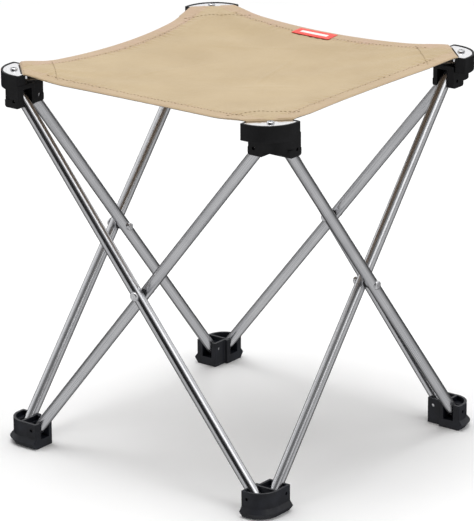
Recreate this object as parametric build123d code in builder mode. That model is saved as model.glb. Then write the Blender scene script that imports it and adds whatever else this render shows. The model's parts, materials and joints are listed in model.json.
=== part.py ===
"""Folding camp stool: four crossed pairs of light-alloy tubes between four corner hubs and four
feet, with a fabric seat hung from a slotted metal plate on each hub. Millimetres, +Z up.

The origin is on the ground under the middle of the seat. The stool repeats itself every quarter
turn about Z, so each piece is built once, for the front side or the front left corner, and the
other three are copies turned about Z.
"""

from build123d import *
from math import sqrt
import os

os.makedirs("parts", exist_ok=True)

# ---------------------------------------------------------------- driving dimensions
PIVOT_SPAN = 387.0  # between the two end pivots of every tube
PIVOT_RISE = 300.0  # hub pivots above foot pivots, stool open
FOOT_PIVOT_Z = 16.5  # foot pivots above the ground
PIVOT_SETBACK = 12.7  # a hub's pivot line to the middle plane of the next side
TUBE_OFFSET = 5.6  # each tube's axis from the middle plane of its side

TUBE_RADIUS = 5.0
TUBE_WALL = 1.2
TUBE_OVERHANG = 6.0  # tube beyond each end pivot
SLOT_CLEARANCE = 0.3  # each side of a tube in its slot
SWING_RADIUS = 8.4  # clear space round a pivot for the end of the tube

PIN_RADIUS = 1.5
PIN_RUNNING_FIT = 0.06  # radial, pin in tube
PIN_RECESS = 2.0  # pin head below the outer wall

RIVET_RADIUS = 2.0
RIVET_RUNNING_FIT = 0.06
RIVET_HEAD_RADIUS = 4.0
RIVET_HEAD_HEIGHT = 2.0
RIVET_END_RADIUS = 3.2
RIVET_END_HEIGHT = 3.2
WASHER_RADIUS = 4.0
SPOT_FACE_RADIUS = 4.3
SPOT_FACE_DEPTH = 0.6
TURNING_GAP = 0.05  # between flat faces that turn on each other

WALL_OUT = 30.0  # pivot line to the outer wall beside an outer tube
WALL_THICKNESS = 6.4  # outer wall of a tube slot
INNER_WALL = 4.6  # inner wall of a tube slot
END_REACH = 5.8  # hub and foot bodies beyond their pivots
CORNER_RADIUS = 18.0  # rounded outer corner of hub and foot bodies
BODY_CORNER = 1.0
RIM_CORNER = 1.5
EDGE_ROUND = 0.6
EAR_LENGTH = 15.5
EAR_CORNER = 2.2
PIN_LENGTH = 19.0
PIN_INNER_COVER = 0.6  # inner end of a pin into the wall beyond its slot

HUB_TOP = 22.6  # all hub heights are measured from its pivots
HUB_RIM_BOTTOM = 8.4
HUB_DECK = 13.4
HUB_WEB_BOTTOM = -1.6
HUB_EAR_BOTTOM = -6.0
HUB_SLOT_ROOF = 9.6
HUB_RIM_END = 5.2  # the rim past the pivots, a little short of the body's ends

PLATE_THICKNESS = 1.5
PLATE_INSET = 1.8  # black rim left round the plate
PLATE_END_INSET = 1.0  # black rim left at the plate's two ends
PLATE_SINK = 0.5  # plate top below the rim
PLATE_FIT = 0.1
PLATE_ROUND = 0.4
BAR_INNER = 9.0  # along the corner's diagonal, outward from the pivot crossing
SLIT_INNER = 11.6
SLIT_OUTER = 14.2
SLIT_LENGTH = 32.4
LIP_DEPTH = 4.0
SCREW_PLACE = 19.0
SCREW_HEAD_RADIUS = 3.3
SCREW_HEAD_HEIGHT = 1.7
SCREW_SHANK_RADIUS = 1.5
SCREW_LENGTH = 11.0
CROSS_LENGTH = 3.6
CROSS_WIDTH = 0.8
CROSS_DEPTH = 0.9
TAB_POCKET_DEPTH = 14.8  # room under the plate for the seat's tab, along the diagonal
TAB_POCKET_HEIGHT = 10.0

FOOT_HEIGHT = 22.8
FOOT_SLOT_FLOOR = 7.8
FOOT_WALL = 2.2  # wall left round the recess in a foot's top
FOOT_RECESS_DEPTH = 4.4
FOOT_RIB = 2.2  # rib left across the recess beside the outer tube
SOLE_FLARE = 3.2
SOLE_EDGE_Z = 5.0
SOLE_TOP_Z = 9.0
SOLE_TREAD_FLARE = -0.6

CLOTH = 1.2
TAB_FIT = 0.3
TAB_BEND = 0.4  # inner radius of the tab's bends, close round the bar
TAB_WIDTH = 30.4
TAB_INNER_WIDTH = 25.0
HINGE_LINE = -6.6  # where the seat bends down from a tab, along the corner's diagonal
SEAT_MIDDLE_Z = 332.5
SEAT_EDGE_BOW = 9.0  # how far the middle of a seat edge lies inside its ends
SEAT_CORNER_REACH = 142.0  # seat edge from the middle of the stool, at the edge's ends
SEAT_EDGE_LENGTH = 234.0
PANEL_THICKNESS = 1.5
PANEL_GAP = 0.15
TAIL_LENGTH = 13.0
TAIL_WIDTH = 26.0
LABEL_SIZE = (40.0, 14.0, 0.6)
LABEL_CENTRE = (-10.0, 121.5)
LABEL_CLEARANCE = 0.2

# ---------------------------------------------------------------- derived positions
HALF_RUN = sqrt(PIVOT_SPAN**2 - PIVOT_RISE**2) / 2  # middle of the side to a pivot
SIDE = HALF_RUN + PIVOT_SETBACK  # middle of the stool to the middle plane of a side
HUB_PIVOT_Z = FOOT_PIVOT_Z + PIVOT_RISE
CROSSING_Z = FOOT_PIVOT_Z + PIVOT_RISE / 2

OUTER_TUBE = PIVOT_SETBACK + TUBE_OFFSET  # tube axes from the pivot crossing of a corner
INNER_TUBE = PIVOT_SETBACK - TUBE_OFFSET
SLOT_HALF = TUBE_RADIUS + SLOT_CLEARANCE
INNER_SIDE_WALL = INNER_TUBE + SLOT_HALF + WALL_THICKNESS
OUTER_SIDE_DEPTH = OUTER_TUBE - SLOT_HALF - INNER_WALL
INNER_SIDE_DEPTH = INNER_TUBE - SLOT_HALF - INNER_WALL

HUB_TOP_Z = HUB_PIVOT_Z + HUB_TOP
PLATE_TOP_Z = HUB_TOP_Z - PLATE_SINK
PLATE_SEAT_Z = PLATE_TOP_Z - PLATE_THICKNESS
LIP_BOTTOM_Z = PLATE_TOP_Z - LIP_DEPTH
TAB_TOP_Z = PLATE_TOP_Z + 0.05 + CLOTH
TAB_BOTTOM_Z = LIP_BOTTOM_Z - TAB_FIT - CLOTH
DIAGONAL = sqrt(2)
PANEL_REACH = HALF_RUN * DIAGONAL + HINGE_LINE - PANEL_GAP  # middle of the stool to a panel's outer end
EDGE_RADIUS = ((SEAT_EDGE_LENGTH / 2) ** 2 + SEAT_EDGE_BOW**2) / (2 * SEAT_EDGE_BOW)
SEAT_SLOPE = (TAB_TOP_Z - SEAT_MIDDLE_Z) / PANEL_REACH

SIDES = ("front", "right", "back", "left")
CORNERS = ("front_left", "front_right", "back_right", "back_left")


def corner_plane(z):
    """Horizontal plane with its origin at the front left corner's pivot crossing."""
    return Plane(origin=(-HALF_RUN, -HALF_RUN, z))


def diagonal_point(outward, sideways=0.0):
    """A point on corner_plane, given along and across the corner's diagonal."""
    return ((sideways - outward) / DIAGONAL, (-sideways - outward) / DIAGONAL)


def save(name, piece):
    """Labels a finished piece and writes it as the node of that name."""
    piece.part.label = name
    export_step(piece.part, f"parts/{name}.step")


def save_four(pattern, names, piece):
    """Writes a piece and its three copies turned about Z, one for each name."""
    for quarter, name in enumerate(names):
        with BuildPart() as copy:
            add(piece.part, rotation=(0, 0, 90 * quarter))
        save(pattern.format(name), copy)


# ---------------------------------------------------------------- tubes and rivets
def leaning_tube(y, run):
    """A tube in the upright plane at y, from its hub pivot at x = -run to its foot pivot at x = run."""
    top = Vector(-run, y, HUB_PIVOT_Z)
    bottom = Vector(run, y, FOOT_PIVOT_Z)
    along = (bottom - top).normalized()
    with BuildPart() as tube:
        with BuildSketch(Plane(origin=top - along * TUBE_OVERHANG, x_dir=(0, 1, 0), z_dir=along)):
            Circle(TUBE_RADIUS)
            Circle(TUBE_RADIUS - TUBE_WALL, mode=Mode.SUBTRACT)
        extrude(amount=PIVOT_SPAN + 2 * TUBE_OVERHANG)
        for pivot in (top, bottom):
            with BuildSketch(Plane(origin=pivot, x_dir=(1, 0, 0), z_dir=(0, 1, 0))):
                Circle(PIN_RADIUS + PIN_RUNNING_FIT)
            extrude(amount=TUBE_RADIUS + 1, both=True, mode=Mode.SUBTRACT)
        with BuildSketch(Plane(origin=(0, y, CROSSING_Z), x_dir=(1, 0, 0), z_dir=(0, 1, 0))):
            Circle(RIVET_RADIUS + RIVET_RUNNING_FIT)
        extrude(amount=TUBE_RADIUS + 1, both=True, mode=Mode.SUBTRACT)
        for face in (-1, 1):
            spot_y = y + face * (TUBE_RADIUS - SPOT_FACE_DEPTH)
            with BuildSketch(Plane(origin=(0, spot_y, CROSSING_Z), x_dir=(1, 0, 0), z_dir=(0, face, 0))):
                Circle(SPOT_FACE_RADIUS)
            extrude(amount=SPOT_FACE_DEPTH + 1, mode=Mode.SUBTRACT)
    return tube


def along_y(y):
    """Upright plane through the front crossing, drawn on from outside and growing inward."""
    return Plane(origin=(0, y, CROSSING_Z), x_dir=(1, 0, 0), z_dir=(0, 1, 0))


def crossing_rivet():
    """Rivet through both tubes of the front pair: domed head outside, formed end inside."""
    head_seat = -SIDE - TUBE_OFFSET - TUBE_RADIUS + SPOT_FACE_DEPTH
    end_seat = -SIDE + TUBE_OFFSET + TUBE_RADIUS - SPOT_FACE_DEPTH + TURNING_GAP
    with BuildPart() as rivet:
        with BuildSketch(along_y(head_seat)):
            Circle(RIVET_RADIUS)
        extrude(amount=end_seat - head_seat)
        with BuildSketch(along_y(head_seat)):
            Circle(RIVET_HEAD_RADIUS)
        extrude(amount=-RIVET_HEAD_HEIGHT)
        fillet(rivet.edges().filter_by(GeomType.CIRCLE).sort_by(Axis.Y)[0], RIVET_HEAD_HEIGHT * 0.8)
        with BuildSketch(along_y(end_seat)):
            Circle(RIVET_END_RADIUS)
        extrude(amount=RIVET_END_HEIGHT)
        chamfer(rivet.edges().filter_by(GeomType.CIRCLE).sort_by(Axis.Y)[-1], 0.8)
    return rivet


def crossing_washer():
    """Spacer between the two tubes of the front pair."""
    half_gap = TUBE_OFFSET - TUBE_RADIUS + SPOT_FACE_DEPTH
    with BuildPart() as washer:
        with BuildSketch(along_y(-SIDE - half_gap)):
            Circle(WASHER_RADIUS)
            Circle(RIVET_RADIUS + RIVET_RUNNING_FIT, mode=Mode.SUBTRACT)
        extrude(amount=2 * half_gap - TURNING_GAP)
    return washer


# ---------------------------------------------------------------- hub and foot features
def rim_outline(inset, end_inset, bar):
    """D-shaped outline of a hub's top, drawn in from its walls and its ends and cut at bar."""
    wall = WALL_OUT - inset
    end = HUB_RIM_END - end_inset
    far = -bar * DIAGONAL - end
    with BuildSketch() as outline:
        with BuildLine():
            FilletPolyline(
                (-wall, 0), (-wall, end), (far, end), (end, far), (end, -wall), (0, -wall), radius=RIM_CORNER
            )
            RadiusArc((0, -wall), (-wall, 0), wall)
        make_face()
    return outline.sketch


def body_outline(flare=0.0):
    """Plan of a hub or foot body round its two tube slots, its outward walls moved out by flare."""
    outer_wall = -WALL_OUT - flare
    inner_wall = -INNER_SIDE_WALL - flare
    corner = CORNER_RADIUS + flare
    with BuildSketch() as outline:
        with BuildLine():
            FilletPolyline(
                (inner_wall + corner, outer_wall),
                (END_REACH, outer_wall),
                (END_REACH, -OUTER_SIDE_DEPTH),
                (-INNER_SIDE_DEPTH, -OUTER_SIDE_DEPTH),
                (-INNER_SIDE_DEPTH, END_REACH),
                (inner_wall, END_REACH),
                (inner_wall, outer_wall + corner),
                radius=BODY_CORNER,
            )
            RadiusArc((inner_wall + corner, outer_wall), (inner_wall, outer_wall + corner), corner)
        make_face()
    return outline.sketch


def ears(pivot_z, low, high):
    """The two ears below a body, EAR_LENGTH long with rounded lower corners."""
    back = END_REACH - EAR_LENGTH
    outer = Plane(origin=(-HALF_RUN, -HALF_RUN - OUTER_SIDE_DEPTH, pivot_z), x_dir=(1, 0, 0), z_dir=(0, -1, 0))
    inner = Plane(origin=(-HALF_RUN - INNER_SIDE_WALL, -HALF_RUN, pivot_z), x_dir=(0, 1, 0), z_dir=(1, 0, 0))
    with BuildPart() as both:
        for plane in (outer, inner):
            with BuildSketch(plane):
                with BuildLine():
                    FilletPolyline(
                        (END_REACH, high), (END_REACH, low), (back, low), (back, high), radius=EAR_CORNER
                    )
                    Line((back, high), (END_REACH, high))
                make_face()
            extrude(amount=WALL_OUT - OUTER_SIDE_DEPTH)
    return both.part


def slot_space(low, high):
    """The space of both tube slots between two heights, open past the body's end faces."""
    past_end = END_REACH + 1
    middle = (past_end - SWING_RADIUS) / 2
    length = past_end + SWING_RADIUS
    with BuildPart() as space:
        with BuildSketch(corner_plane(low)):
            with Locations((middle, -OUTER_TUBE)):
                Rectangle(length, 2 * SLOT_HALF)
            with Locations((-INNER_TUBE, middle)):
                Rectangle(2 * SLOT_HALF, length)
        extrude(amount=high - low)
    return space.part


def pin_planes(pivot_z):
    """Upright planes at the inner ends of the outer and the inner tube's pins, facing outward."""
    outer_y = -HALF_RUN - OUTER_SIDE_DEPTH - PIN_INNER_COVER
    inner_x = -HALF_RUN - INNER_SIDE_DEPTH - PIN_INNER_COVER
    return (
        Plane(origin=(-HALF_RUN, outer_y, pivot_z), x_dir=(1, 0, 0), z_dir=(0, -1, 0)),
        Plane(origin=(inner_x, -HALF_RUN, pivot_z), x_dir=(0, 1, 0), z_dir=(-1, 0, 0)),
    )


def pins(pivot_z, length):
    """The two round pins of a hub or foot, one across each tube slot."""
    with BuildPart() as both:
        for plane in pin_planes(pivot_z):
            with BuildSketch(plane):
                Circle(PIN_RADIUS)
            extrude(amount=length)
    return both


def pin_holes(pivot_z):
    """Pin holes out through the outer walls, and in through the inner wall beside the inner tube."""
    inner_tube_pin = pin_planes(pivot_z)[1]
    with BuildPart() as holes:
        add(pins(pivot_z, PIN_LENGTH + PIN_RECESS + 1).part)
        with BuildSketch(inner_tube_pin):
            Circle(PIN_RADIUS)
        extrude(amount=-PIN_INNER_COVER - 1)
    return holes.part


def turned_over(piece):
    """A piece turned half a turn about the corner's diagonal on the ground: hub layout to foot layout."""
    with BuildPart() as turned:
        add(piece.part.rotate(Axis((0, 0, 0), (1, 1, 0)), 180))
    return turned


# ---------------------------------------------------------------- hub, plate and screw
def hub():
    """Front left hub: a D-shaped top over a body with two slotted ears for the tube ends."""
    with BuildPart() as body:
        with BuildSketch(corner_plane(HUB_PIVOT_Z + HUB_RIM_BOTTOM)):
            add(rim_outline(0, 0, BAR_INNER + PLATE_THICKNESS))
        extrude(amount=HUB_TOP - HUB_RIM_BOTTOM)
        fillet(body.faces().sort_by(Axis.Z)[0].edges(), EDGE_ROUND)
        fillet(body.faces().sort_by(Axis.Z)[-1].edges(), EDGE_ROUND)
        with BuildSketch(corner_plane(HUB_PIVOT_Z + HUB_WEB_BOTTOM)):
            add(body_outline())
        extrude(amount=HUB_DECK - HUB_WEB_BOTTOM)
        add(ears(HUB_PIVOT_Z, HUB_EAR_BOTTOM, HUB_WEB_BOTTOM + EAR_CORNER))
        slots = slot_space(HUB_PIVOT_Z + HUB_EAR_BOTTOM - 1, HUB_PIVOT_Z + HUB_SLOT_ROOF)
        add(slots, mode=Mode.SUBTRACT)
        add(pin_holes(HUB_PIVOT_Z), mode=Mode.SUBTRACT)
        with BuildSketch(corner_plane(PLATE_SEAT_Z)):
            add(rim_outline(PLATE_INSET - PLATE_FIT, PLATE_END_INSET - PLATE_FIT, 0))
        extrude(amount=PLATE_THICKNESS + 2, mode=Mode.SUBTRACT)
        with BuildSketch(corner_plane(TAB_BOTTOM_Z - TAB_FIT)):
            with Locations(Location(diagonal_point(TAB_POCKET_DEPTH / 2), (0, 0, 45))):
                Rectangle(TAB_POCKET_DEPTH, SLIT_LENGTH + 1)
        extrude(amount=TAB_POCKET_HEIGHT, mode=Mode.SUBTRACT)
        with Locations(corner_plane(PLATE_SEAT_Z)):
            with Locations(diagonal_point(SCREW_PLACE)):
                Hole(SCREW_SHANK_RADIUS, SCREW_LENGTH - PLATE_THICKNESS)
    return body


def cap_plate():
    """Metal plate let into the hub's top: a slit for the seat's tab and a lip turned down inside it."""
    with BuildPart() as plate:
        with BuildSketch(corner_plane(PLATE_SEAT_Z)):
            add(rim_outline(PLATE_INSET, PLATE_END_INSET, BAR_INNER))
        extrude(amount=PLATE_THICKNESS)
        with BuildSketch(corner_plane(LIP_BOTTOM_Z)):
            with Locations(Location(diagonal_point(BAR_INNER + PLATE_THICKNESS / 2), (0, 0, 45))):
                Rectangle(PLATE_THICKNESS, SLIT_LENGTH)
        extrude(amount=LIP_DEPTH)
        top_edges = plate.faces().sort_by(Axis.Z)[-1].edges()
        fillet(top_edges, PLATE_ROUND)
        with BuildSketch(corner_plane(PLATE_SEAT_Z)):
            with Locations(Location(diagonal_point((SLIT_INNER + SLIT_OUTER) / 2), (0, 0, 45))):
                SlotOverall(SLIT_LENGTH, SLIT_OUTER - SLIT_INNER, rotation=90)
        extrude(amount=PLATE_THICKNESS + 1, mode=Mode.SUBTRACT)
        with Locations(corner_plane(PLATE_TOP_Z)):
            with Locations(diagonal_point(SCREW_PLACE)):
                Hole(SCREW_SHANK_RADIUS)
    return plate


def cap_screw():
    """Pan-head screw with a cross recess, holding the plate down."""
    centre = corner_plane(PLATE_TOP_Z).from_local_coords(diagonal_point(SCREW_PLACE))
    top = Plane(origin=(centre.X, centre.Y, PLATE_TOP_Z))
    with BuildPart() as screw:
        with BuildSketch(top):
            Circle(SCREW_HEAD_RADIUS)
        extrude(amount=SCREW_HEAD_HEIGHT)
        fillet(screw.faces().sort_by(Axis.Z)[-1].edges(), SCREW_HEAD_HEIGHT * 0.7)
        with BuildSketch(top):
            Circle(SCREW_SHANK_RADIUS)
        extrude(amount=-SCREW_LENGTH)
        with BuildSketch(top.offset(SCREW_HEAD_HEIGHT - CROSS_DEPTH)):
            Rectangle(CROSS_LENGTH, CROSS_WIDTH, rotation=30)
            Rectangle(CROSS_WIDTH, CROSS_LENGTH, rotation=30)
        extrude(amount=CROSS_DEPTH + 1, mode=Mode.SUBTRACT)
    return screw


# ---------------------------------------------------------------- foot
def foot_recess():
    """Recess in a foot's top that leaves thin walls all round, and a rib beside the outer tube's slot."""
    rib_y = SLOT_HALF - OUTER_TUBE + FOOT_RIB / 2
    with BuildPart() as recess:
        with BuildSketch(corner_plane(-FOOT_HEIGHT - 1)):
            add(body_outline())
            offset(amount=-FOOT_WALL, kind=Kind.INTERSECTION, mode=Mode.REPLACE)
            with Locations((0, rib_y)):
                Rectangle(3 * WALL_OUT, FOOT_RIB, mode=Mode.SUBTRACT)
        extrude(amount=FOOT_RECESS_DEPTH + 1)
    return recess.part


def upturned_foot():
    """A foot upside down with its sole at z = 0, laid out like a hub. turned_over() sets it upright."""
    levels = ((0.0, SOLE_TREAD_FLARE), (-SOLE_EDGE_Z, SOLE_FLARE), (-SOLE_TOP_Z, 0.0))
    with BuildPart() as foot:
        with BuildSketch(corner_plane(-FOOT_HEIGHT)):
            add(body_outline())
        extrude(amount=FOOT_HEIGHT - SOLE_TOP_Z)
        for (high, high_flare), (low, low_flare) in zip(levels, levels[1:]):
            with BuildSketch(corner_plane(high)):
                add(body_outline(high_flare))
            with BuildSketch(corner_plane(low)):
                add(body_outline(low_flare))
            loft()
        add(foot_recess(), mode=Mode.SUBTRACT)
        add(slot_space(-FOOT_HEIGHT - 1, -FOOT_SLOT_FLOOR), mode=Mode.SUBTRACT)
        add(pin_holes(-FOOT_PIVOT_Z), mode=Mode.SUBTRACT)
    return foot


# ---------------------------------------------------------------- seat
def diagonal_plane():
    """Upright plane through the front left corner's diagonal: x outward from the pivot crossing, y up."""
    return Plane(origin=(-HALF_RUN, -HALF_RUN, 0), x_dir=(-1, -1, 0), z_dir=(-1, 1, 0))


def seat_tab():
    """Corner tab of the seat: over the plate's bar, down through the slit and back under it."""
    inside = SLIT_INNER + TAB_FIT
    outside = inside + CLOTH
    upper = TAB_TOP_Z - CLOTH
    lower = TAB_BOTTOM_Z + CLOTH
    start = HINGE_LINE
    with BuildPart() as tab:
        with BuildSketch(diagonal_plane()):
            with BuildLine():
                FilletPolyline(
                    (start, TAB_TOP_Z), (outside, TAB_TOP_Z), (outside, TAB_BOTTOM_Z), (start, TAB_BOTTOM_Z),
                    radius=TAB_BEND + CLOTH,
                )
                Line((start, TAB_BOTTOM_Z), (start, lower))
                FilletPolyline((start, lower), (inside, lower), (inside, upper), (start, upper), radius=TAB_BEND)
                Line((start, upper), (start, TAB_TOP_Z))
            make_face()
        extrude(amount=TAB_WIDTH / 2, both=True)
        with BuildSketch(corner_plane(TAB_BOTTOM_Z - 1)):
            with BuildLine():
                Polyline(
                    diagonal_point(outside + 1, TAB_WIDTH / 2),
                    diagonal_point(BAR_INNER, TAB_WIDTH / 2),
                    diagonal_point(start, TAB_INNER_WIDTH / 2),
                    diagonal_point(start, -TAB_INNER_WIDTH / 2),
                    diagonal_point(BAR_INNER, -TAB_WIDTH / 2),
                    diagonal_point(outside + 1, -TAB_WIDTH / 2),
                    close=True,
                )
            make_face()
        extrude(amount=TAB_TOP_Z - TAB_BOTTOM_Z + 2, mode=Mode.INTERSECT)
    return tab


def seat_edge(along):
    """Distance of the seat's front edge from the middle of the stool, along from the edge's middle."""
    return SEAT_CORNER_REACH - SEAT_EDGE_BOW + EDGE_RADIUS - sqrt(EDGE_RADIUS**2 - along**2)


def seat_plane(drop):
    """Slope of the front left seat panel's top, lowered by drop."""
    tilt = SEAT_SLOPE / DIAGONAL
    return Plane(origin=(0, 0, SEAT_MIDDLE_Z - drop), z_dir=(tilt, tilt, 1))


def seat_panel():
    """Front left quarter of the seat, sloping from the hinge line beside its tab to the middle."""
    reach = SEAT_CORNER_REACH - SEAT_EDGE_BOW + EDGE_RADIUS - PANEL_REACH * DIAGONAL
    corner = (sqrt(2 * EDGE_RADIUS**2 - reach**2) - reach) / 2
    halfway = corner / 2
    gap = -PANEL_GAP
    with BuildPart() as panel:
        with BuildSketch(Plane.XY.offset(SEAT_MIDDLE_Z - 2 * PANEL_THICKNESS)):
            with BuildLine():
                ThreePointArc((gap, -seat_edge(0)), (-halfway, -seat_edge(halfway)), (-corner, -seat_edge(corner)))
                Line((-corner, -seat_edge(corner)), (-seat_edge(corner), -corner))
                ThreePointArc((-seat_edge(corner), -corner), (-seat_edge(halfway), -halfway), (-seat_edge(0), gap))
                Polyline((-seat_edge(0), gap), (gap, gap), (gap, -seat_edge(0)))
            make_face()
        extrude(amount=TAB_TOP_Z - SEAT_MIDDLE_Z + 4 * PANEL_THICKNESS)
        split(bisect_by=seat_plane(0), keep=Keep.BOTTOM)
        split(bisect_by=seat_plane(PANEL_THICKNESS), keep=Keep.TOP)
    return panel


def seat_tail():
    """End of a corner tab, turned back under the seat and sewn to it inward of the hinge line."""
    middle = HINGE_LINE - PANEL_GAP - TAIL_LENGTH / 2
    with BuildPart() as tail:
        with BuildSketch(corner_plane(TAB_BOTTOM_Z)):
            with Locations(Location(diagonal_point(middle), (0, 0, 45))):
                Rectangle(TAIL_LENGTH, TAIL_WIDTH)
        extrude(amount=CLOTH)
    return tail


def seat_label():
    """Sewn fabric label on the back edge, lying across the meeting line of the two back panels."""
    x, y = LABEL_CENTRE
    length, width, thickness = LABEL_SIZE
    tilt = SEAT_SLOPE / DIAGONAL
    height = SEAT_MIDDLE_Z + tilt * (y + abs(x) + length / 2) + LABEL_CLEARANCE
    with BuildPart() as label:
        with BuildSketch(Plane(origin=(x, y, height), x_dir=(1, 0, 0), z_dir=(0, -tilt, 1))):
            RectangleRounded(length, width, 1.0)
        extrude(amount=thickness)
    return label


# ---------------------------------------------------------------- all pieces
save_four("{}_outer_tube", SIDES, leaning_tube(-SIDE - TUBE_OFFSET, HALF_RUN))
save_four("{}_inner_tube", SIDES, leaning_tube(-SIDE + TUBE_OFFSET, -HALF_RUN))
save_four("crossing_rivet_{}", SIDES, crossing_rivet())
save_four("crossing_washer_{}", SIDES, crossing_washer())

save_four("hub_{}", CORNERS, hub())
save_four("hub_pins_{}", CORNERS, pins(HUB_PIVOT_Z, PIN_LENGTH))
save_four("cap_plate_{}", CORNERS, cap_plate())
save_four("cap_screw_{}", CORNERS, cap_screw())

save_four("foot_{}", CORNERS, turned_over(upturned_foot()))
save_four("foot_pins_{}", CORNERS, turned_over(pins(-FOOT_PIVOT_Z, PIN_LENGTH)))

save_four("seat_tab_{}", CORNERS, seat_tab())
save_four("seat_panel_{}", CORNERS, seat_panel())
save_four("seat_tail_{}", CORNERS, seat_tail())
save("seat_label", seat_label())
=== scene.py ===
"""Looks of the folding camp stool: its fabric seat, the finish of every part, light and camera.

Metres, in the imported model's frame: +Z up, the origin on the ground under the middle of the seat.
The seat is one sheet hung from four corners. It is built as four quarters, each with a corner strip
that wraps round a hub's bar, so that it can follow the folding frame.
"""

import json
import math

import bpy
import numpy as np
from mathutils import Matrix, Vector


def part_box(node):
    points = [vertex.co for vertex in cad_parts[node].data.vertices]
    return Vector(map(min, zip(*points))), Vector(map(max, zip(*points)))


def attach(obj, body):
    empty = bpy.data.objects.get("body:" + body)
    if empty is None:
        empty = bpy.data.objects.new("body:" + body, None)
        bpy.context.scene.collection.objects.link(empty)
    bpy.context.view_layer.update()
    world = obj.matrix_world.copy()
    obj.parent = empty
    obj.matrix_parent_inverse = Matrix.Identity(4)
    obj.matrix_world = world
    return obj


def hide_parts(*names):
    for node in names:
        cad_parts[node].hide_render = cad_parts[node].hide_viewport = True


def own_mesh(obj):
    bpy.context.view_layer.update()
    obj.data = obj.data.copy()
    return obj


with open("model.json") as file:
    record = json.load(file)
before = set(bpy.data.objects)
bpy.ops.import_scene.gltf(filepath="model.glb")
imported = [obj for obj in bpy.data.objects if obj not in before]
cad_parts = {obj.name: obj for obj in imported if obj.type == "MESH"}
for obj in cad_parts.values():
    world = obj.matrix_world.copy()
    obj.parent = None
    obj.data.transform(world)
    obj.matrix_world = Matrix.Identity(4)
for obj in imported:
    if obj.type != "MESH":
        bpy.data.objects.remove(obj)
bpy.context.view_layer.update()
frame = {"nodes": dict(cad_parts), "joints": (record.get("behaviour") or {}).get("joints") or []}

# ---------------------------------------------------------------- places taken from the frame
CORNERS = ("front_left", "front_right", "back_right", "back_left")
SIDES = ("front", "right", "back", "left")
MM = 0.001
RT2 = math.sqrt(2)
joints = {joint["name"]: joint for joint in frame["joints"]}
hinge_point = Vector(joints["front_left_seat_bend"]["pos_m"])
HINGE_A = math.hypot(hinge_point.x, hinge_point.y)  # hinge line from the middle, along a diagonal
TAB_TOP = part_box("seat_tab_front_left")[1].z
TAB_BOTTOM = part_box("seat_tab_front_left")[0].z
PIVOT_A = abs(joints["fold"]["pos_m"][0]) * RT2
BAR_INNER_A = PIVOT_A + 9.0 * MM
TAB_END_A = PIVOT_A + 12.9 * MM

# ---------------------------------------------------------------- seat sizes
CLOTH = 0.9 * MM
HEM_CLOTH = 1.9 * MM
HEM_WIDTH = 14.5 * MM
HEM_EDGE = 1.1 * MM
# each seat edge in the order of SIDES: how far it lies from the middle, and how deep it sags
EDGE_MIDDLE = (134 * MM, 133 * MM, 133 * MM, 131 * MM)
EDGE_SAG = (6.2 * MM, 5.2 * MM, 5.0 * MM, 6.5 * MM)
MIDDLE_SAG = 9.5 * MM
SEAT_HALF = 0.133  # typical distance of an edge from the middle
UNDER_TOP = 0.55 * MM  # the cloth's middle surface below its top
BAR_HALF_WIDTH = 20.5 * MM
TAB_HALF_WIDTH = 15.6 * MM  # gathered to pass through the slit
CORNER_ALONG = (TAB_END_A - 1.5 * MM - BAR_HALF_WIDTH) / RT2
CORNER_REACH = (TAB_END_A - 1.5 * MM + BAR_HALF_WIDTH) / RT2
SEAM_A = HINGE_A - 9 * MM  # reinforcing seam across each corner
GRID = 96  # points along each side of a quarter's mesh
STITCH_PITCH = 3.6 * MM
STITCH_LENGTH = 2.7 * MM
STITCH_WIDTH = 0.55 * MM
STITCH_INSET = 1.6 * MM  # from the hem's inner edge


# ---------------------------------------------------------------- shape of the sheet
def smooth(value, low, high):
    """0 below low, 1 above high and a smooth step between."""
    t = np.clip((value - low) / (high - low), 0, 1)
    return t * t * (3 - 2 * t)


def bump(value, width):
    """A rounded ridge of height 1 round value 0."""
    return np.exp(-((value / width) ** 2))


def edge_distance(side, along):
    """How far a seat edge lies from the middle of the stool, along from the edge's own middle."""
    middle = EDGE_MIDDLE[side]
    t = np.abs(along) / CORNER_ALONG
    return middle + (CORNER_REACH - middle) * t**2.1


def from_edges(x, y):
    """Distance inward from the nearest seat edge."""
    slack = (
        edge_distance(0, x) + y,
        edge_distance(1, y) - x,
        edge_distance(2, x) - y,
        edge_distance(3, y) + x,
    )
    return np.minimum.reduce(slack)


def ripples(x, y):
    """Loose unevenness of stretched cloth, from a few long waves in mixed directions."""
    total = np.zeros_like(x)
    waves = (  # radians per metre along x and y, phase, height in mm
        (61, 23, 0.4, 0.34),
        (-38, 71, 1.9, 0.30),
        (97, -64, 4.1, 0.16),
        (52, 118, 2.7, 0.14),
        (-141, 47, 5.3, 0.09),
    )
    for across, up, phase, height in waves:
        total += height * np.sin(across * x + up * y + phase + 1.3 * np.sin(41 * y - 27 * x + phase))
    return total * MM


def tension_folds(x, y):
    """Shallow folds that fan out from each corner tab along the lines of pull."""
    total = np.zeros_like(x)
    for quarter in range(4):
        turn = math.radians(-135 + 90 * quarter)
        out_x, out_y = math.cos(turn), math.sin(turn)
        inward = TAB_END_A - (x * out_x + y * out_y)
        across = x * -out_y + y * out_x
        angle = np.arctan2(across, inward + 14 * MM)
        reach = np.hypot(inward, across)
        fade = smooth(reach, 6 * MM, 32 * MM) * np.exp(-((reach / (92 * MM)) ** 2))
        fan = 0.55 * np.sin(11 * angle + 1.1 + 1.7 * quarter) + 0.35 * np.sin(19 * angle + 2.3 * quarter)
        total += fan * fade
    return total * 0.8 * MM


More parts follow.
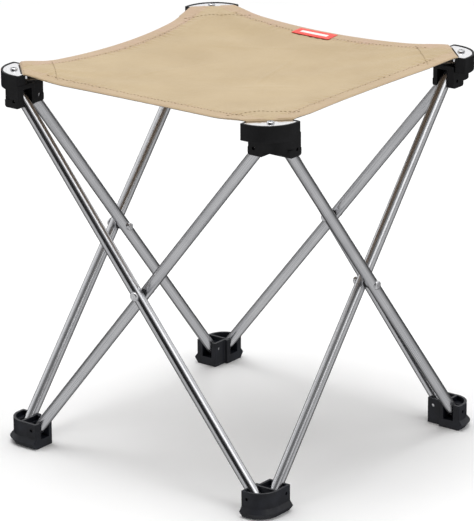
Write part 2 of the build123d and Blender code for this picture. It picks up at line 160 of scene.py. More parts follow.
def line_ridge(x, y, start, end, width):
    """A faint ridge along the straight line from start to end."""
    length = math.dist(start, end)
    ux, uy = (end[0] - start[0]) / length, (end[1] - start[1]) / length
    along = (x - start[0]) * ux + (y - start[1]) * uy
    across = (y - start[1]) * ux - (x - start[0]) * uy
    ends = smooth(along, -0.15 * length, 0.25 * length) * (1 - smooth(along, 0.75 * length, 1.15 * length))
    return bump(across, width) * ends


def creases(x, y):
    """Marks left where the seat lay folded in its bag."""
    marks = (
        ((0.016, 0.057), (0.041, -0.038), 0.62),
        ((0.033, -0.046), (0.073, -0.016), 0.40),
        ((-0.060, -0.090), (-0.030, 0.020), 0.22),
        ((-0.075, 0.040), (0.004, 0.083), 0.20),
    )
    total = np.zeros_like(x)
    for start, end, height in marks:
        total += height * line_ridge(x, y, start, end, 2.6 * MM)
    return total * MM


def sheet_middle(x, y):
    """Height of the cloth's middle surface: sagging between the tabs, tight along the edges."""
    px, py = np.clip(x / SEAT_HALF, -1.1, 1.1), np.clip(y / SEAT_HALF, -1.1, 1.1)
    lean_x = (EDGE_SAG[1] + EDGE_SAG[3]) / 2 + (EDGE_SAG[1] - EDGE_SAG[3]) / 2 * px
    lean_y = (EDGE_SAG[2] + EDGE_SAG[0]) / 2 + (EDGE_SAG[2] - EDGE_SAG[0]) / 2 * py
    edge = (lean_x * px**2 + lean_y * py**2) / np.maximum(px**2 + py**2, 1e-9)
    both = px**2 + py**2
    flat = MIDDLE_SAG - (MIDDLE_SAG - edge) * both
    inner = 1 - smooth(px**2 * py**2, 0.0, 0.74) ** 0.8
    outer = 1 - smooth(px**2 * py**2, 0.35, 0.92)
    corner = outer + (inner - outer) * smooth(from_edges(x, y), 4 * MM, 26 * MM)
    sag = np.maximum(flat, 0) * corner + np.maximum(edge - 2.2 * MM, 0) * 0.35 * corner * (1 - corner)
    out = (np.abs(x) + np.abs(y)) / RT2
    loose = smooth(from_edges(x, y), 3 * MM, 30 * MM) * (1 - smooth(out, HINGE_A - 14 * MM, HINGE_A))
    height = TAB_TOP - UNDER_TOP - sag
    return height + loose * (ripples(x, y) + tension_folds(x, y)) + creases(x, y) * loose


def along_hem(x, y):
    """Place along the hem, used for what repeats along it."""
    return np.where(np.abs(x) > np.abs(y), y, x)


def hem_share(x, y):
    """1 on the doubled hem and 0 inside it."""
    return 1 - smooth(from_edges(x, y), HEM_WIDTH - 0.4 * MM, HEM_WIDTH + 1.2 * MM)


def puckers(x, y):
    """Small gathers that the hem's stitching pulls into the cloth."""
    place = along_hem(x, y)
    wave = np.sin(place * 620 + 2.1 * np.sin(place * 133)) + 0.6 * np.sin(place * 1010 + 1.4)
    near = bump(from_edges(x, y) - HEM_WIDTH, 6 * MM)
    return 0.30 * MM * wave * near


def seam_line(x, y):
    """1 along the reinforcing seams across the corners."""
    out = (np.abs(x) + np.abs(y)) / RT2
    return bump(out - SEAM_A, 0.9 * MM) * smooth(from_edges(x, y), 7 * MM, 11 * MM)


def layer(x, y, top):
    """Height of the sheet's top or bottom face."""
    inward = from_edges(x, y)
    thick = CLOTH + (HEM_CLOTH - CLOTH) * hem_share(x, y)
    roll = np.sqrt(np.clip(1 - (1 - np.clip(inward / HEM_EDGE, 0, 1)) ** 2, 0, 1))
    stitched = bump(inward - (HEM_WIDTH - 1.6 * MM), 1.0 * MM) * smooth(inward, 2 * MM, 5 * MM)
    dip = 0.42 * MM * stitched + 0.12 * MM * seam_line(x, y)
    half = (thick / 2 - dip) * roll
    middle = sheet_middle(x, y) + puckers(x, y)
    return middle + half if top else middle - half


def sheet_normal(x, y):
    """Unit normal of the sheet's top face."""
    step = 0.2 * MM
    slope_x = (layer(x + step, y, True) - layer(x - step, y, True)) / (2 * step)
    slope_y = (layer(x, y + step, True) - layer(x, y - step, True)) / (2 * step)
    normal = np.stack([-slope_x, -slope_y, np.ones_like(x)], -1)
    return normal / np.linalg.norm(normal, axis=-1, keepdims=True)


# ---------------------------------------------------------------- mesh helpers
def grid_faces(rows, columns, first=0, flip=False):
    """Quads of a grid of points stored row by row."""
    faces = []
    for i in range(rows - 1):
        for j in range(columns - 1):
            a = first + i * columns + j
            quad = (a, a + 1, a + columns + 1, a + columns)
            faces.append(quad[::-1] if flip else quad)
    return faces


def border(rows, columns):
    """Points round the edge of a grid stored row by row, in order."""
    index = np.arange(rows * columns).reshape(rows, columns)
    return np.concatenate([index[0, :-1], index[:-1, -1], index[-1, :0:-1], index[:0:-1, 0]])


def wall_faces(first, around):
    """Quads of a closed wall between two rings of points, the top ring stored first."""
    faces = []
    for i in range(around):
        a, b = first + i, first + (i + 1) % around
        faces.append((b, a, a + around, b + around))
    return faces


def mesh_object(name, points, faces, material):
    """A mesh object in the scene, from points and faces."""
    mesh = bpy.data.meshes.new(name)
    mesh.from_pydata([tuple(map(float, p)) for p in points], [], [tuple(map(int, f)) for f in faces])
    mesh.validate()
    mesh.polygons.foreach_set("use_smooth", [True] * len(mesh.polygons))
    mesh.materials.append(material)
    mesh.update()
    made = bpy.data.objects.new(name, mesh)
    bpy.context.scene.collection.objects.link(made)
    return made


def turned(points, quarter):
    """Points of the back right quarter, where x and y are positive, turned to another quarter."""
    c, s = ((1, 0), (0, 1), (-1, 0), (0, -1))[quarter % 4]
    return np.stack([c * points[:, 0] - s * points[:, 1], s * points[:, 0] + c * points[:, 1]], 1)


QUARTERS = {"back_right": 0, "back_left": 1, "front_left": 2, "front_right": 3}
QUARTER_SIDES = ((2, 1), (3, 2), (0, 3), (1, 0))  # the two seat edges of each quarter, as places in SIDES


def outline(quarter, swapped, count):
    """Points along one outer side of a quarter: the seat edge, then the hinge line to the diagonal."""
    side = QUARTER_SIDES[quarter][swapped]
    spread = np.linspace(0, 1, 400)
    along = spread * CORNER_ALONG
    out = edge_distance(side, along)
    inside = (along + out) / RT2 < HINGE_A
    last = int(inside.sum())
    share = (HINGE_A * RT2 - (along[last - 1] + out[last - 1])) / (
        along[last] + out[last] - along[last - 1] - out[last - 1]
    )
    end_along = along[last - 1] + share * (along[last] - along[last - 1])
    end_out = HINGE_A * RT2 - end_along
    edge_part = np.stack([along[:last], out[:last]], 1)
    diagonal = HINGE_A / RT2
    points = np.vstack([edge_part, [[end_along, end_out]], [[diagonal, diagonal]]])
    lengths = np.concatenate([[0], np.cumsum(np.linalg.norm(np.diff(points, axis=0), axis=1))])
    corner = lengths[-2]
    corner_index = int(round((count - 1) * corner / lengths[-1]))
    places = np.concatenate(
        [np.linspace(0, corner, corner_index + 1), np.linspace(corner, lengths[-1], count - corner_index)[1:]]
    )
    result = np.stack([np.interp(places, lengths, points[:, k]) for k in (0, 1)], 1)
    return result[:, ::-1] if swapped else result


def quarter_plan(quarter, count):
    """Plan points of a quarter's grid, between the two cut lines and its two outer sides."""
    top = outline(quarter, 0, count)
    right = outline(quarter, 1, count)
    share = np.linspace(0, 1, count)
    bottom = np.stack([share * right[0, 0], 0 * share], 1)
    left = np.stack([0 * share, share * top[0, 1]], 1)
    u, v = share[None, :, None], share[:, None, None]
    corners = (1 - u) * (1 - v) * bottom[0] + u * (1 - v) * bottom[-1]
    corners = corners + (1 - u) * v * top[0] + u * v * top[-1]
    plan = (1 - v) * bottom[None] + v * top[None] + (1 - u) * left[:, None] + u * right[:, None] - corners
    return plan.reshape(-1, 2)


def two_faced(name, plan, rows, columns, material, heights=layer):
    """A thin closed sheet: top and bottom grids over the same plan, joined all round."""
    x, y = plan[:, 0], plan[:, 1]
    count = len(plan)
    top = np.column_stack([x, y, heights(x, y, True)])
    bottom = np.column_stack([x, y, heights(x, y, False)])
    ring = border(rows, columns)
    points = np.vstack([top, bottom, top[ring], bottom[ring]])
    faces = grid_faces(rows, columns) + grid_faces(rows, columns, count, True)
    faces += wall_faces(2 * count, len(ring))
    return mesh_object(name, points, faces, material), count


def share_normals(made, count, plan):
    """Gives the sheet's own normals to the points of its top and bottom faces, so that pieces of one
    sheet meet without a visible line."""
    mesh = made.data
    normals = np.array([vertex.normal for vertex in mesh.vertices])
    whole = sheet_normal(plan[:, 0], plan[:, 1])
    open_cloth = from_edges(plan[:, 0], plan[:, 1]) > 2.5 * HEM_EDGE
    normals[:count][open_cloth] = whole[open_cloth]
    normals[count : 2 * count][open_cloth] = -whole[open_cloth]
    mesh.normals_split_custom_set_from_vertices([tuple(n) for n in normals])


def paint_underside_shade(made, faces):
    """Gives the second of two equal grids of faces, the sheet's underside, a dark brown cloth: painted shade
    for the shadow under the seat.
    """
    made.data.materials.append(underside_shade_cloth)
    for face in made.data.polygons[faces : 2 * faces]:
        face.material_index = 1


def mark_hem(made):
    """Stores how far each point is on the hem, for the fabric's colour."""
    mesh = made.data
    points = np.array([vertex.co for vertex in mesh.vertices])
    front_right = smooth(points[:, 0] - points[:, 1], -40 * MM, 40 * MM)
    # the hem's tint is stronger on the back and left edges
    share = hem_share(points[:, 0], points[:, 1]) * (1 - 0.6 * front_right)
    attribute = mesh.attributes.new("hem", "FLOAT", "POINT")
    attribute.data.foreach_set("value", share.astype(np.float32))


# ---------------------------------------------------------------- materials
def srgb(red, green, blue):
    """A colour given as screen values from 0 to 255."""
    def linear(value):
        value /= 255
        return value / 12.92 if value <= 0.04045 else ((value + 0.055) / 1.055) ** 2.4
    return (linear(red), linear(green), linear(blue), 1.0)


class Finish:
    """A material being put together from nodes."""

    def __init__(self, name):
        self.material = bpy.data.materials.new(name)
        self.material.use_nodes = True
        self.tree = self.material.node_tree
        self.shader = self.tree.nodes["Principled BSDF"]
        self.place = self.add("ShaderNodeTexCoord").outputs["Object"]

    def add(self, kind, **settings):
        node = self.tree.nodes.new(kind)
        for key, value in settings.items():
            setattr(node, key, value)
        return node

    def link(self, source, target):
        self.tree.links.new(source, target)

    def set(self, **values):
        for key, value in values.items():
            self.shader.inputs[key.replace("_", " ")].default_value = value

    def scaled(self, scale, turn=(0, 0, 0)):
        """Object coordinates turned, then scaled."""
        node = self.add("ShaderNodeMapping", vector_type="POINT")
        source = self.place
        if any(turn):
            rotate = self.add("ShaderNodeMapping", vector_type="POINT")
            rotate.inputs["Rotation"].default_value = turn
            self.link(source, rotate.inputs["Vector"])
            source = rotate.outputs["Vector"]
        node.inputs["Scale"].default_value = scale
        self.link(source, node.inputs["Vector"])
        return node.outputs["Vector"]

    def noise(self, scale, detail=2.0, vector=None, roughness=0.5):
        node = self.add("ShaderNodeTexNoise")
        node.inputs["Scale"].default_value = scale
        node.inputs["Detail"].default_value = detail
        node.inputs["Roughness"].default_value = roughness
        self.link(vector or self.place, node.inputs["Vector"])
        return node.outputs["Fac"]

    def wave(self, scale, direction, distortion=0.0):
        node = self.add("ShaderNodeTexWave", wave_type="BANDS", bands_direction=direction, wave_profile="SIN")
        node.inputs["Scale"].default_value = scale
        node.inputs["Distortion"].default_value = distortion
        self.link(self.place, node.inputs["Vector"])
        return node.outputs["Fac"]

    def ramp(self, value, *stops):
        node = self.add("ShaderNodeValToRGB")
        elements = node.color_ramp.elements
        while len(elements) < len(stops):
            elements.new(0.5)
        for element, (position, colour) in zip(elements, stops):
            element.position = position
            element.color = colour
        self.link(value, node.inputs["Fac"])
        return node.outputs["Color"]

    def range(self, value, low, high, from_low=0.3, from_high=0.7):
        node = self.add("ShaderNodeMapRange")
        ends = (("From Min", from_low), ("From Max", from_high), ("To Min", low), ("To Max", high))
        for key, number in ends:
            node.inputs[key].default_value = number
        self.link(value, node.inputs["Value"])
        return node.outputs["Result"]

    def maths(self, operation, a, b):
        node = self.add("ShaderNodeMath", operation=operation)
        for socket, value in zip(node.inputs, (a, b)):
            if isinstance(value, (int, float)):
                socket.default_value = value
            else:
                self.link(value, socket)
        return node.outputs["Value"]

    def mix(self, share, a, b, blend="MIX"):
        node = self.add("ShaderNodeMix", data_type="RGBA", blend_type=blend)
        for socket, value in ((node.inputs[0], share), (node.inputs[6], a), (node.inputs[7], b)):
            if isinstance(value, (int, float, tuple)):
                socket.default_value = value
            else:
                self.link(value, socket)
        return node.outputs[2]

    def bumps(self, *layers):
        """Bump layers as (height, distance in metres, strength), laid over each other."""
        normal = None
        for height, distance, strength in layers:
            node = self.add("ShaderNodeBump")
            node.inputs["Distance"].default_value = distance
            node.inputs["Strength"].default_value = strength
            self.link(height, node.inputs["Height"])
            if normal:
                self.link(normal, node.inputs["Normal"])
            normal = node.outputs["Normal"]
        self.link(normal, self.shader.inputs["Normal"])


def fabric(name, light, dark, hem=None, thread=0.55 * MM, weave=1.0):
    """Plain woven cloth: crossing threads with painted shade in the hollows between them, slubs and a soft
    unevenness of colour.
    """
    finish = Finish(name)
    turns = 2 * math.pi / thread / 20
    warp = finish.wave(turns, "X", 0.4)
    weft = finish.wave(turns, "Y", 0.4)
    cloth = finish.maths("MULTIPLY", warp, weft)
    slubs_x = finish.noise(1.0, 3, finish.scaled((60, 1700, 60)))
    slubs_y = finish.noise(1.0, 3, finish.scaled((1700, 60, 60)))
    slubs = finish.maths("ADD", slubs_x, slubs_y)
    cloud = finish.noise(17, 4)
    colour = finish.ramp(cloud, (0.32, dark), (0.68, light))
    colour = finish.mix(finish.range(slubs, 0.0, 0.14, 0.8, 1.3), colour, srgb(236, 222, 196))
    # painted shade: darker brown where the weave dips between its crossing threads
    colour = finish.mix(finish.range(cloth, 0.16, 0.0, 0.0, 0.6), colour, srgb(120, 98, 70))
    if hem:
        share = finish.add("ShaderNodeAttribute", attribute_name="hem").outputs["Fac"]
        patchy = finish.maths("MULTIPLY", share, finish.range(finish.noise(70, 3), 0.25, 0.85))
        colour = finish.mix(patchy, colour, hem)
    finish.link(colour, finish.shader.inputs["Base Color"])
    finish.link(finish.range(slubs, 0.78, 0.92, 0.8, 1.3), finish.shader.inputs["Roughness"])
    finish.set(Sheen_Weight=0.25, Sheen_Roughness=0.5, Specular_IOR_Level=0.25)
    rumple = finish.noise(150, 3)
    finish.bumps((cloth, 0.12 * MM, 0.55 * weave), (slubs, 0.10 * MM, 0.5), (rumple, 0.35 * MM, 0.35))
    return finish.material


def moulded(name, colour, pale, roughness, shine):
    """Black moulded plastic with a fine spark-eroded grain and faint scuffs."""
    finish = Finish(name)
    cloud = finish.noise(90, 4)
    finish.link(finish.ramp(cloud, (0.35, colour), (0.75, pale)), finish.shader.inputs["Base Color"])
    scuffs = finish.noise(1.0, 5, finish.scaled((900, 900, 240), (0.4, 0.7, 0.2)), 0.7)
    finish.link(finish.range(scuffs, roughness - 0.08, roughness + 0.14), finish.shader.inputs["Roughness"])
    finish.set(Specular_IOR_Level=shine)
    finish.bumps((finish.noise(2600, 2), 0.03 * MM, 0.6), (finish.noise(210, 3), 0.10 * MM, 0.25))
    return finish.material


def drawn_tube(name, turn):
    """Drawn aluminium tube, anodised: fine lines along its length. turn lays the lines along the tube."""
    finish = Finish(name)
    lines = finish.noise(1.0, 4, finish.scaled((2600, 2600, 9), turn))
    wear = finish.noise(34, 5, None, 0.65)
    metal = finish.ramp(lines, (0.3, srgb(196, 197, 200)), (0.7, srgb(232, 232, 234)))
    colour = finish.mix(finish.range(wear, 0.0, 0.35), metal, srgb(178, 179, 184))
    finish.link(colour, finish.shader.inputs["Base Color"])
    finish.link(finish.range(lines, 0.20, 0.32), finish.shader.inputs["Roughness"])
    finish.set(Metallic=1.0)
    finish.bumps((lines, 0.012 * MM, 0.5))
    return finish.material


def bright_metal(name, colour, low, high, grain):
    """Bright plated metal with a fine grain."""
    finish = Finish(name)
    lines = finish.noise(1.0, 4, finish.scaled(grain, (0, 0, math.pi / 4)))
    shades = finish.ramp(lines, (0.3, colour), (0.7, srgb(246, 246, 248)))
    finish.link(shades, finish.shader.inputs["Base Color"])
    finish.link(finish.range(lines, low, high), finish.shader.inputs["Roughness"])
    finish.set(Metallic=1.0)
    finish.bumps((lines, 0.01 * MM, 0.4), (finish.noise(120, 2), 0.05 * MM, 0.2))
    return finish.material


def label_cloth(name, middle, half_bar):
    """Red woven satin label with a plain pale bar in place of any lettering."""
    finish = Finish(name)
    place = finish.add("ShaderNodeSeparateXYZ")
    finish.link(finish.place, place.inputs["Vector"])
    bars = []
    for axis, centre, half in (("X", middle[0], half_bar[0]), ("Y", middle[1], half_bar[1])):
        offset = finish.maths("ABSOLUTE", finish.maths("SUBTRACT", place.outputs[axis], centre), 0)
        bars.append(finish.range(offset, 1.0, 0.0, half - 0.3 * MM, half + 0.3 * MM))
    bar = finish.maths("MULTIPLY", bars[0], bars[1])
    threads = finish.wave(2 * math.pi / (0.4 * MM) / 20, "Y", 0.3)
    red = finish.ramp(threads, (0.2, srgb(238, 44, 30)), (0.8, srgb(252, 72, 54)))
    pale = finish.ramp(threads, (0.2, srgb(240, 226, 220)), (0.8, srgb(255, 250, 246)))
    finish.link(finish.mix(bar, red, pale), finish.shader.inputs["Base Color"])
    finish.link(finish.range(finish.noise(400, 3), 0.42, 0.6), finish.shader.inputs["Roughness"])
    finish.set(Sheen_Weight=0.2)
    finish.bumps((threads, 0.06 * MM, 0.5), (bar, 0.15 * MM, 0.6))
    return finish.material


FABRIC_LIGHT = srgb(196, 174, 136)
FABRIC_DARK = srgb(184, 161, 123)
seat_cloth = fabric("seat_cloth", FABRIC_LIGHT, FABRIC_DARK, hem=srgb(192, 163, 141))
# the seat's underside: dark brown, painted shade for the shadow under the sheet
underside_shade_cloth = fabric("seat_backing", srgb(92, 72, 52), srgb(72, 56, 40))
# cut ends of the corner tabs: the seat's cloth, dark brown as painted shade under the seat
tail_shade_cloth = fabric("tail_painted_shade", srgb(104, 78, 54), srgb(66, 46, 30), thread=1.3 * MM, weave=1.6)
thread_cloth = fabric("sewing_thread", srgb(178, 154, 118), srgb(150, 126, 94), thread=0.2 * MM)
hub_plastic = moulded("hub_plastic", srgb(10, 10, 12), srgb(20, 20, 23), 0.44, 0.22)
foot_plastic = moulded("foot_plastic", srgb(16, 18, 25), srgb(30, 33, 42), 0.42, 0.32)
washer_plastic = moulded("washer_plastic", srgb(34, 34, 36), srgb(52, 52, 54), 0.5, 0.4)
plate_metal = bright_metal("plate_chrome", srgb(226, 226, 228), 0.10, 0.22, (60, 2400, 2400))
screw_metal = bright_metal("screw_zinc", srgb(128, 129, 133), 0.14, 0.26, (900, 900, 900))
pin_metal = bright_metal("pin_steel", srgb(150, 151, 154), 0.25, 0.40, (900, 900, 900))
rivet_metal = bright_metal("rivet_aluminium", srgb(188, 189, 192), 0.22, 0.36, (700, 700, 700))


def paint(node, material):
    """Gives a CAD node one material."""
    slots = frame["nodes"][node].data.materials
    slots.clear()
    slots.append(material)


def paint_frame():
    """Finish of every CAD part that stays."""
    crossing, pivot = joints["front_crossing"]["pos_m"], joints["fold"]["pos_m"]
    lean = math.atan2(crossing[2] - pivot[2], -pivot[0])
    tip = math.pi / 2 + lean
    for number, side in enumerate(SIDES):
        for kind, sign in (("outer", 1), ("inner", -1)):
            way = sign * (1 if number < 2 else -1)
            turn = (0, way * tip, 0) if number % 2 == 0 else (-way * tip, 0, 0)
            paint(f"{side}_{kind}_tube", drawn_tube(f"tube_{side}_{kind}", turn))
        paint(f"crossing_rivet_{side}", rivet_metal)
        paint(f"crossing_washer_{side}", washer_plastic)
    for corner in CORNERS:
        paint(f"hub_{corner}", hub_plastic)
        paint(f"foot_{corner}", foot_plastic)
        paint(f"hub_pins_{corner}", pin_metal)
        paint(f"foot_pins_{corner}", pin_metal)
        paint(f"cap_plate_{corner}", plate_metal)
        paint(f"cap_screw_{corner}", screw_metal)


def hang(piece, body):
    """Puts a seat piece on its body and gives it a mesh of its own."""
    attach(piece, body)
    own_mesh(piece)


def seat_quarter(corner):
    """One quarter of the seat's sheet, from the middle to the hinge line beside its hub."""
    quarter = QUARTERS[corner]
    plan = turned(quarter_plan(quarter, GRID), quarter)
    made, count = two_faced(f"seat_quarter_{corner}", plan, GRID, GRID, seat_cloth)
    paint_underside_shade(made, (GRID - 1) ** 2)
    share_normals(made, count, plan)
    mark_hem(made)
    return made


def corner_strip(corner):
    """The narrowing end of the sheet: over the hub's bar, down through the slit and back under it."""
    quarter = QUARTERS[corner]
    columns = 49
    path = []  # distance along the diagonal, height (None on the open sheet) and outward direction
    for a in np.linspace(HINGE_A, TAB_END_A - 1.5 * MM, 18):
        path.append((a, None, 0.0, 0.0))
    radius = 1.0 * MM
    top_z = TAB_TOP - UNDER_TOP
    low_z = TAB_BOTTOM + UNDER_TOP
    centre_a = TAB_END_A - UNDER_TOP - radius
    for angle in np.linspace(80, 0, 6):
        c, s = math.cos(math.radians(angle)), math.sin(math.radians(angle))
        path.append((centre_a + radius * c, top_z - radius + radius * s, c, s))
    for angle in np.linspace(0, -90, 6):
        c, s = math.cos(math.radians(angle)), math.sin(math.radians(angle))
        path.append((centre_a + radius * c, low_z + radius + radius * s, c, s))
    for a in np.linspace(BAR_INNER_A, HINGE_A, 7):
        path.append((a, low_z, 0.0, -1.0))
    across = np.linspace(-1, 1, columns)
    outer, inner = [], []
    for a, z, normal_a, normal_z in path:
        if z is None:
            half = edge_half_width(a)
        else:
            over_bar = float(smooth(z, top_z - 2.4 * MM, top_z))
            half = TAB_HALF_WIDTH + (BAR_HALF_WIDTH - TAB_HALF_WIDTH) * over_bar
        b = across * half
        plan = turned(np.stack([(a - b) / RT2, (a + b) / RT2], 1), quarter)
        if z is None:
            outer.append(np.column_stack([plan, layer(plan[:, 0], plan[:, 1], True)]))
            inner.append(np.column_stack([plan, layer(plan[:, 0], plan[:, 1], False)]))
            continue
        thick = 0.5 * (0.8 + 0.35 * smooth(np.abs(across), 0.45, 0.6)) * MM
        thick = thick * np.sqrt(np.clip(1 - np.clip((np.abs(across) - 0.94) / 0.06, 0, 1) ** 2, 0.02, 1))
        for rows, sign in ((outer, 1), (inner, -1)):
            shift_a = a + sign * normal_a * thick
            place = turned(np.stack([(shift_a - b) / RT2, (shift_a + b) / RT2], 1), quarter)
            rows.append(np.column_stack([place, z + sign * normal_z * thick]))
    rows = len(path)
    count = rows * columns
    top, bottom = np.vstack(outer), np.vstack(inner)
    ring = border(rows, columns)
    points = np.vstack([top, bottom, top[ring], bottom[ring]])
    faces = grid_faces(rows, columns) + grid_faces(rows, columns, count, True)
    faces += wall_faces(2 * count, len(ring))
    made = mesh_object(f"seat_corner_{corner}", points, faces, seat_cloth)
    paint_underside_shade(made, (rows - 1) * (columns - 1))
    # faces below the bar, where the strip runs back under the hub, take the underside's painted shade
    for face in made.data.polygons:
        if face.center.z < low_z + 1.6 * MM:
            face.material_index = 1
    mark_hem(made)
    return made


def edge_half_width(a):
    """Half the sheet's width across a diagonal, at a from the middle of the stool."""
    low, high = 0.0, 0.1
    for _ in range(40):
        b = (low + high) / 2
        inside = (a + b) / RT2 < edge_distance(1, (a - b) / RT2)
        low, high = (b, high) if inside else (low, b)
    return low


def stitch(points, faces, start, end):
    """Adds one stitch: a short arched thread lying between two points on the cloth."""
    up, width = Vector((0, 0, 1)), STITCH_WIDTH
    along = end - start
    side = along.cross(up).normalized() * width / 2
    arch = (0.0, 0.75, 1.0, 0.75, 0.0)
    first = len(points)
    for step, height in enumerate(arch):
        centre = start.lerp(end, step / (len(arch) - 1)) + up * (height * width * 0.75 - width * 0.15)
        size = 0.55 + 0.45 * height
        for angle in range(6):
            turn = math.radians(60 * angle)
            points.append(centre + side * math.cos(turn) * size + up * math.sin(turn) * width * 0.4 * size)
    for step in range(len(arch) - 1):
        for angle in range(6):
            a = first + step * 6 + angle
            b = first + step * 6 + (angle + 1) % 6
            faces.append((a, b, b + 6, a + 6))
    faces.append(tuple(first + k for k in range(5, -1, -1)))
    faces.append(tuple(first + 6 * (len(arch) - 1) + k for k in range(6)))


def cloth_point(x, y):
    """A point on the sheet's top face."""
    return Vector((x, y, float(layer(np.array([x]), np.array([y]), True)[0])))


def quarter_stitches(corner):
    """Hem stitches of a quarter and the seam across its corner, as raised threads."""
    quarter = QUARTERS[corner]
    points, faces = [], []
    for swapped, side in enumerate(QUARTER_SIDES[quarter]):
        for number in range(int(CORNER_ALONG / STITCH_PITCH)):
            ends = []
            start = STITCH_PITCH * number + 0.4 * MM
            for along in (start, start + STITCH_LENGTH):
                out = float(edge_distance(side, along)) - HEM_WIDTH + STITCH_INSET
                plan = (out, along) if swapped else (along, out)
                ends.append(plan)
            if sum(ends[1]) / RT2 > HINGE_A - 1.0 * MM:
                continue
            places = turned(np.array(ends), quarter)
            stitch(points, faces, cloth_point(*places[0]), cloth_point(*places[1]))
    half = edge_half_width(SEAM_A) - 8 * MM
    for number in range(int(2 * half / STITCH_PITCH)):
        start = -half + STITCH_PITCH * number
        ends = [((SEAM_A - b) / RT2, (SEAM_A + b) / RT2) for b in (start, start + STITCH_LENGTH)]
        places = turned(np.array(ends), quarter)
        stitch(points, faces, cloth_point(*places[0]), cloth_point(*places[1]))
    return mesh_object(f"hem_stitches_{corner}", points, faces, thread_cloth)


def tail(corner):
    """Cut end of a corner tab under the seat, a short strap that droops from its stitching."""
    quarter = QUARTERS[corner]
    rows, columns = 15, 17
    length, half = 15 * MM, 13 * MM
    points = []
    for face in (1, -1):
        for i in range(rows):
            t = i / (rows - 1)
            a = HINGE_A - 0.4 * MM - t * length
            for j in range(columns):
                s = 2 * j / (columns - 1) - 1
                b = s * half
                droop = 8.5 * MM * t**1.6 + 0.8 * MM * t * math.sin(3.1 * s + quarter)
                z = TAB_BOTTOM + 0.6 * MM - droop + face * 0.75 * MM * (1 - 0.5 * abs(s) ** 8)
                plan = turned(np.array([[(a - b) / RT2, (a + b) / RT2]]), quarter)[0]
                points.append((plan[0], plan[1], z))
    count = rows * columns
    faces = grid_faces(rows, columns, 0, True) + grid_faces(rows, columns, count)
    ring = border(rows, columns)
    for i, first in enumerate(ring):
        second = ring[(i + 1) % len(ring)]
        faces.append((first, second, second + count, first + count))
    # the strap's dark brown is painted shade
    return mesh_object(f"seat_tail_strap_{corner}", points, faces, tail_shade_cloth)


LABEL_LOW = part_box("seat_label")[0]
LABEL_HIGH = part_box("seat_label")[1]
LABEL_MIDDLE = (LABEL_LOW + LABEL_HIGH) / 2
LABEL_BAR = (LABEL_HIGH - LABEL_LOW) * 0.36
LABEL_BAR.y *= 0.45
LABEL_SATIN = label_cloth("label_satin", LABEL_MIDDLE, LABEL_BAR)


def label_half(corner):
    """Half of the sewn label on the back hem, cut where the two back quarters meet."""
    rows, columns = 13, 27
    left, right = (LABEL_LOW.x, 0.0) if corner == "back_left" else (0.0, LABEL_HIGH.x)
    xs = np.linspace(left, right, columns)
    ys = np.linspace(LABEL_LOW.y, LABEL_HIGH.y, rows)
    plan = np.array([(x, y) for y in ys for x in xs])

    def height(x, y, top):
        edge = np.minimum.reduce((x - LABEL_LOW.x, LABEL_HIGH.x - x, y - LABEL_LOW.y, LABEL_HIGH.y - y))
        raised = 0.55 * MM if top else 0.12 * MM
        return sheet_middle(x, y) + HEM_CLOTH / 2 + raised + 0.12 * MM * smooth(edge, 0, 1.5 * MM)

    made, _ = two_faced(f"sewn_label_{corner}", plan, rows, columns, LABEL_SATIN, height)
    return made


def build_seat():
    """All of the seat, riding on its hubs and panels."""
    for corner in CORNERS:
        piece = seat_quarter(corner)
        strip = corner_strip(corner)
        threads = quarter_stitches(corner)
        strap = tail(corner)
        hang(piece, f"{corner}_seat")
        hang(threads, f"{corner}_seat")
        hang(strap, f"{corner}_seat")
        hang(strip, f"{corner}_hub")
        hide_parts(f"seat_panel_{corner}")
        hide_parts(f"seat_tab_{corner}")
        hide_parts(f"seat_tail_{corner}")
        if corner.startswith("back"):
            tag = label_half(corner)
            hang(tag, f"{corner}_seat")
            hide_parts("seat_label")


# ---------------------------------------------------------------- floor, light and camera
FLOOR_HALF = 8.0
FLOOR_Z = -0.0002  # just under the soles
VIEW_AZIMUTH = math.radians(37.66)
VIEW_ELEVATION = math.radians(18.53)
VIEW_ROLL = -0.0057
VIEW_DISTANCE = 2.9968
VIEW_AIM = Vector((0, 0, 0.1594))
VIEW_SIDEWAYS = -0.0029
LENS_MM = 238.9
LIGHT_AIM = Vector((0, 0, 0.18))
# brightness of the room beyond the stool and behind the camera, above and below the horizon
ROOM_FAR_HIGH = 1.0
ROOM_NEAR_HIGH = 0.28
ROOM_FAR_LOW = 0.04
ROOM_NEAR_LOW = 0.66
ROOM_DARK = 0.0
DARK_END = (0.20, -0.92, 0.34)  # towards the unlit end, behind the camera


def build_floor():
    """Plain pale floor."""
    finish = Finish("studio_floor")
    grain = finish.noise(6, 3)
    shades = finish.ramp(grain, (0.3, srgb(251, 251, 251)), (0.7, srgb(254, 254, 254)))
    finish.link(shades, finish.shader.inputs["Base Color"])
    finish.set(Roughness=0.9, Specular_IOR_Level=0.1)
    corners = [(x * FLOOR_HALF, y * FLOOR_HALF, FLOOR_Z) for x, y in ((-1, -1), (1, -1), (1, 1), (-1, 1))]
    floor = mesh_object("studio_floor", corners, [(0, 1, 2, 3)], finish.material)
    floor.visible_glossy = False


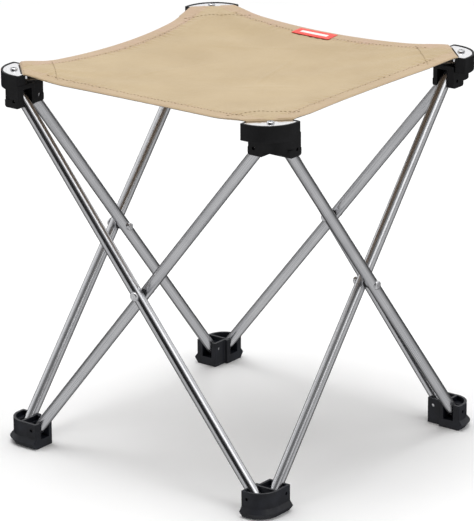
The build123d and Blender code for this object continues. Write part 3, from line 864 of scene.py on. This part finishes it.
def build_light():
    """A room bright at its far end and dark behind the camera, with one soft box overhead and one beside."""
    world = bpy.data.worlds.new("studio")
    bpy.context.scene.world = world
    world.use_nodes = True
    tree = world.node_tree
    direction = tree.nodes.new("ShaderNodeTexCoord").outputs["Generated"]

    def facing(way):
        node = tree.nodes.new("ShaderNodeVectorMath")
        node.operation = "DOT_PRODUCT"
        tree.links.new(direction, node.inputs[0])
        node.inputs[1].default_value = way
        return node.outputs["Value"]

    def eased(value, start, end, low=0.0, high=1.0):
        node = tree.nodes.new("ShaderNodeMapRange")
        node.interpolation_type = "SMOOTHSTEP"
        for key, number in (("From Min", start), ("From Max", end), ("To Min", low), ("To Max", high)):
            node.inputs[key].default_value = number
        tree.links.new(value, node.inputs["Value"])
        return node.outputs["Result"]

    def blend(share, first, second):
        node = tree.nodes.new("ShaderNodeMix")
        for key, value in (("Factor", share), ("A", first), ("B", second)):
            if isinstance(value, float):
                node.inputs[key].default_value = value
            else:
                tree.links.new(value, node.inputs[key])
        return node.outputs["Result"]

    near_side = facing((math.sin(VIEW_AZIMUTH), -math.cos(VIEW_AZIMUTH), 0))
    low = eased(near_side, -0.75, 0.25, ROOM_FAR_LOW, ROOM_NEAR_LOW)
    high = eased(near_side, -0.3, 0.6, ROOM_FAR_HIGH, ROOM_NEAR_HIGH)
    room = blend(eased(facing((0, 0, 1)), 0.0, 0.2), low, high)
    room = blend(eased(facing(DARK_END), 0.80, 0.90), room, ROOM_DARK)
    tree.links.new(room, tree.nodes["Background"].inputs["Color"])
    soft_box("key_light", (-0.3, -0.2, 3.2), 2.0, 50)
    soft_box("fill_light", (2.2, -0.2, 2.2), 1.8, 16)


def soft_box(name, place, size, power):
    """A large square light aimed at the stool."""
    light = bpy.data.lights.new(name, "AREA")
    light.size = size
    light.energy = power
    lamp = bpy.data.objects.new(name, light)
    bpy.context.scene.collection.objects.link(lamp)
    lamp.location = place
    lamp.rotation_euler = (LIGHT_AIM - Vector(place)).to_track_quat("-Z", "Y").to_euler()


def build_camera():
    """Camera at the reference view: from the front right, a little above the seat, with a long lens."""
    flat = math.cos(VIEW_ELEVATION)
    back = Vector((math.sin(VIEW_AZIMUTH) * flat, -math.cos(VIEW_AZIMUTH) * flat, math.sin(VIEW_ELEVATION)))
    level = Vector((math.cos(VIEW_AZIMUTH), math.sin(VIEW_AZIMUTH), 0))
    upright = back.cross(level)
    right = level * math.cos(VIEW_ROLL) + upright * math.sin(VIEW_ROLL)
    up = back.cross(right)
    data = bpy.data.cameras.new("camera")
    data.lens = LENS_MM
    data.sensor_width = 36
    data.clip_start, data.clip_end = 0.1, 50
    camera = bpy.data.objects.new("camera", data)
    bpy.context.scene.collection.objects.link(camera)
    turn = Matrix((right, up, back)).transposed()
    place = VIEW_AIM + back * VIEW_DISTANCE + level * VIEW_SIDEWAYS
    camera.matrix_world = Matrix.Translation(place) @ turn.to_4x4()
    bpy.context.scene.camera = camera


bpy.context.scene.view_settings.view_transform = "Standard"
paint_frame()
build_seat()
build_floor()
build_light()
build_camera()
